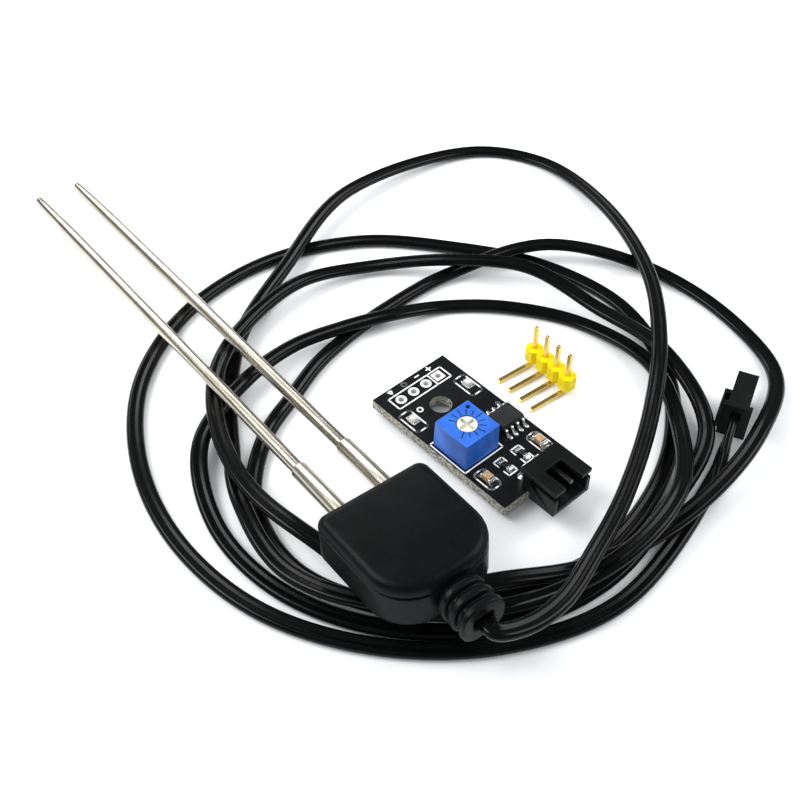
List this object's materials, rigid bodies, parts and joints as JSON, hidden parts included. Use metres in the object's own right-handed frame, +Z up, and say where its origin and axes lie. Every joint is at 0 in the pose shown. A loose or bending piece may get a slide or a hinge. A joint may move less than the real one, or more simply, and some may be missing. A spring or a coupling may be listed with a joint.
{
  "type": "soil moisture sensor",
  "caption": "Two-needle soil probe on a coiled flat lead with its plug, a comparator board with trimmer and lead socket, and a loose right-angle pin header.",
  "frame": {"origin": "middle of the footprint of the probe, board and pin header together, on the surface they lie on", "axes": "+Y from the probe body towards the needle tips, +Z up from the surface, +X from the probe towards the board"},
  "size_m": [0.1023, 0.1275, 0.0136],
  "materials": {
    "body_plastic": "moulded black with a soft sheen",
    "relief_plastic": "flexible black with a soft sheen",
    "lead_sheath": "glossy black",
    "plug_plastic": "satin black",
    "steel": "polished",
    "tin": "tinned, satin",
    "copper": "bright drawn copper",
    "brass": "nickelled",
    "gold": "gold flash",
    "laminate": "black solder mask over glass laminate",
    "chip_plastic": "fine matt",
    "trimmer_plastic": "satin blue",
    "ceramic": "fired white ceramic",
    "capacitor_tan": "matt tan with tinned ends",
    "resistor_black": "glazed black with tinned ends",
    "light_clear": "clear resin over a white base",
    "header_yellow": "translucent yellow"
  },
  "bodies": {
    "probe": {"probe_body": "body_plastic", "strain_relief": "relief_plastic", "needle_holder": "ceramic", "needle_left": "steel", "needle_right": "steel", "needle_sleeve_left": "steel", "needle_sleeve_right": "steel", "solder_joint_left": "tin", "solder_joint_right": "tin", "core_left": "copper", "core_right": "copper", "lead": "lead_sheath", "plug_housing": "plug_plastic", "plug_contact_lower": "tin", "plug_contact_upper": "tin"},
    "board": {"circuit_board": "laminate", "trimmer_case": "trimmer_plastic", "trimmer_substrate": "ceramic", "trimmer_leg_1": "tin", "trimmer_leg_2": "tin", "trimmer_leg_3": "tin", "comparator_chip": "chip_plastic", "chip_lead_1": "tin", "chip_lead_2": "tin", "chip_lead_3": "tin", "chip_lead_4": "tin", "chip_lead_5": "tin", "chip_lead_6": "tin", "chip_lead_7": "tin", "chip_lead_8": "tin", "light_signal": "light_clear", "light_power": "light_clear", "capacitor_1": "capacitor_tan", "capacitor_2": "capacitor_tan", "resistor_1": "resistor_black", "resistor_2": "resistor_black", "socket_housing": "plug_plastic", "socket_pin_left": "tin", "socket_pin_right": "tin"},
    "trimmer_dial": {"trimmer_rotor": "brass", "trimmer_wiper": "brass"},
    "pin_header": {"header_block": "header_yellow", "header_pin_1": "gold", "header_pin_2": "gold", "header_pin_3": "gold", "header_pin_4": "gold"}
  },
  "joints": [
    {"name": "board_lift", "type": "slide", "parent": "probe", "child": "board", "axis": [0, 0, 1], "range_m": [0, 0.04]},
    {"name": "header_lift", "type": "slide", "parent": "probe", "child": "pin_header", "axis": [0, 0, 1], "range_m": [0, 0.04]},
    {"name": "trimmer_turn", "type": "hinge", "parent": "board", "child": "trimmer_dial", "pos_m": [0.00334, -0.03275, 0.0065], "axis": [0, 0, 1], "range_deg": [-130, 130]}
  ]
}
